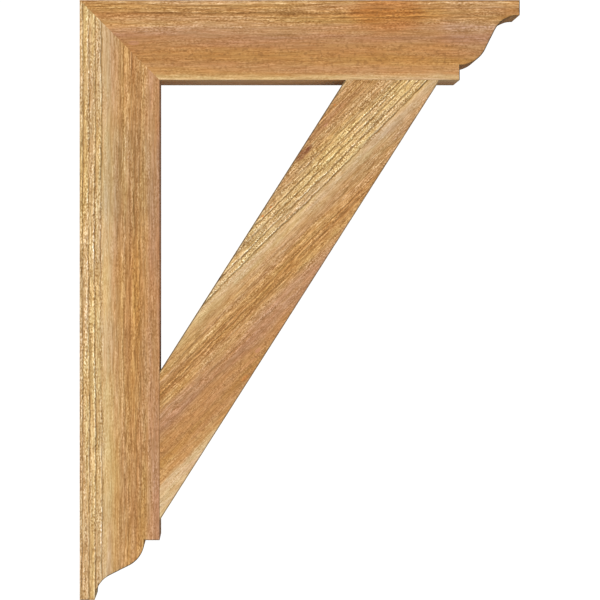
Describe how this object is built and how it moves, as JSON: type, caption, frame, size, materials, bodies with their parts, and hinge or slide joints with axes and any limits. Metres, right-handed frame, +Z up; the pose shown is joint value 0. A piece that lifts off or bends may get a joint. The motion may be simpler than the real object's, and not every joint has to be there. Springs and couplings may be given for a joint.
{
  "type": "timber corbel bracket",
  "caption": "Right-angled timber bracket: a wall post and a mitred top arm with ogee-cut ends, held by a diagonal brace. It carries an eave, beam or shelf off a wall.",
  "frame": {"origin": "centre of the post's flat back, which goes against the wall", "axes": "+X away from the wall along the arm, +Y along the wall across the timbers' width, +Z up the post"},
  "size_m": [0.5588, 0.1016, 0.762],
  "materials": {
    "post_wood": "rough-sawn, unfinished cedar, grain upright",
    "arm_wood": "rough-sawn, unfinished cedar, grain level",
    "brace_wood": "rough-sawn, unfinished cedar, grain running up the slope"
  },
  "bodies": {
    "root": {"wall_post": "post_wood", "top_arm": "arm_wood", "diagonal_brace": "brace_wood"}
  },
  "joints": []
}
